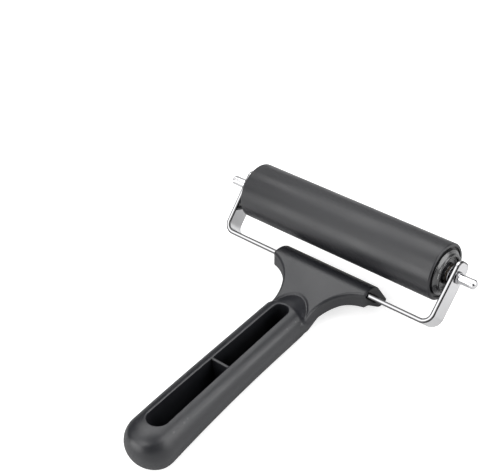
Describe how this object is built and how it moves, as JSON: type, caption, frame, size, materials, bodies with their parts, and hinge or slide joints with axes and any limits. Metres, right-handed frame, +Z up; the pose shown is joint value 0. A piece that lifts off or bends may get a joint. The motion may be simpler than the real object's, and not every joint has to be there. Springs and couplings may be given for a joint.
{
  "type": "rubber brayer",
  "caption": "Hand brayer lying on its back: a rubber roller turns on a steel axle held by a bent flat yoke in a pocketed plastic handle.",
  "frame": {"origin": "on the table the tool lies on, under the middle of its bounding box", "axes": "+Z up from the table, +Y from the handle's butt to the roller, +X along the axle"},
  "size_m": [0.129, 0.1494, 0.0358],
  "materials": {
    "handle_plastic": "satin charcoal moulding with fine grain",
    "roller_rubber": "ground smooth, satin",
    "yoke_chrome": "bright plated",
    "axle_steel": "bright plated rod",
    "ring_steel": "spring wire and pressed washers",
    "core_aluminium": "drawn tube",
    "plug_plastic": "moulded black, semi-gloss",
    "bush_bronze": "sintered bronze"
  },
  "bodies": {
    "frame": {"handle": "handle_plastic", "yoke": "yoke_chrome"},
    "axle": {"axle": "axle_steel", "left_snap_ring": "ring_steel", "right_snap_ring": "ring_steel", "left_thrust_washer": "ring_steel", "right_thrust_washer": "ring_steel"},
    "roller": {"rubber_sleeve": "roller_rubber", "core_tube": "core_aluminium", "left_end_plug": "plug_plastic", "right_end_plug": "plug_plastic", "left_bush": "bush_bronze", "right_bush": "bush_bronze"}
  },
  "joints": [
    {"name": "axle_turn", "type": "hinge", "parent": "frame", "child": "axle", "pos_m": [0, 0.06225, 0.0233], "axis": [1, 0, 0], "continuous": true},
    {"name": "roller_spin", "type": "hinge", "parent": "axle", "child": "roller", "pos_m": [0, 0.06225, 0.0233], "axis": [1, 0, 0], "continuous": true}
  ]
}
